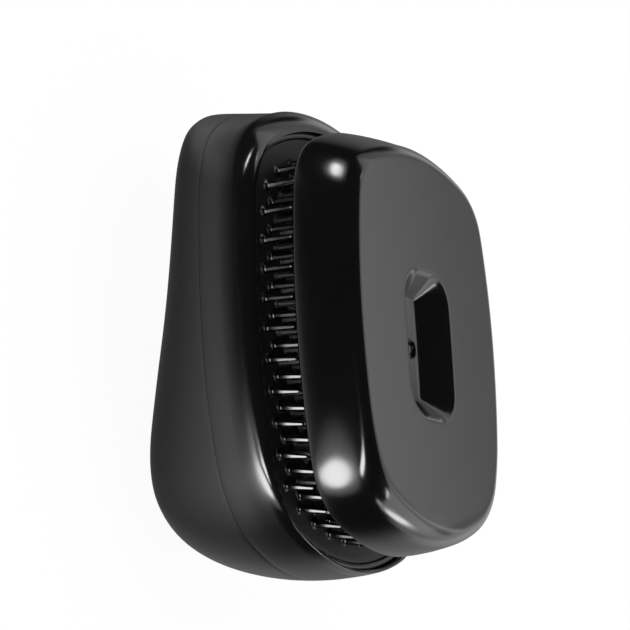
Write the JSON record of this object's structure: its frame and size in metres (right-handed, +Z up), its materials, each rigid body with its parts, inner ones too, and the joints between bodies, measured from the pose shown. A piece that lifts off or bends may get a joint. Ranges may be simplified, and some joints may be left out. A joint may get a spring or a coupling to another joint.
{
  "type": "detangling hair brush",
  "caption": "Palm-held detangling brush with a domed palm shell, a rounded rim frame, a pad of short flexible teeth and a deep lift-off cover with a recess in its face.",
  "frame": {"origin": "bottom centre of the box round the brush lying on its back, at the lowest point of the palm side", "axes": "+X along the brush towards its thick end, +Y across it, +Z up through the teeth and the cover's face"},
  "size_m": [0.0895, 0.068, 0.0552],
  "materials": {
    "body": "satin",
    "carrier": "matte",
    "screws": "bright",
    "ring": "gloss",
    "pad": "matte",
    "cover": "gloss"
  },
  "bodies": {
    "brush": {"rear_shell": "body", "front_frame": "body", "pad_carrier": "carrier", "frame_screws": "screws", "pad_retaining_ring": "ring", "tooth_pad": "pad"},
    "cover": {"cover_shell": "cover"}
  },
  "joints": [
    {"name": "cover_lift", "type": "slide", "parent": "brush", "child": "cover", "axis": [0, 0, 1], "range_m": [-0.0077, 0.02]}
  ]
}
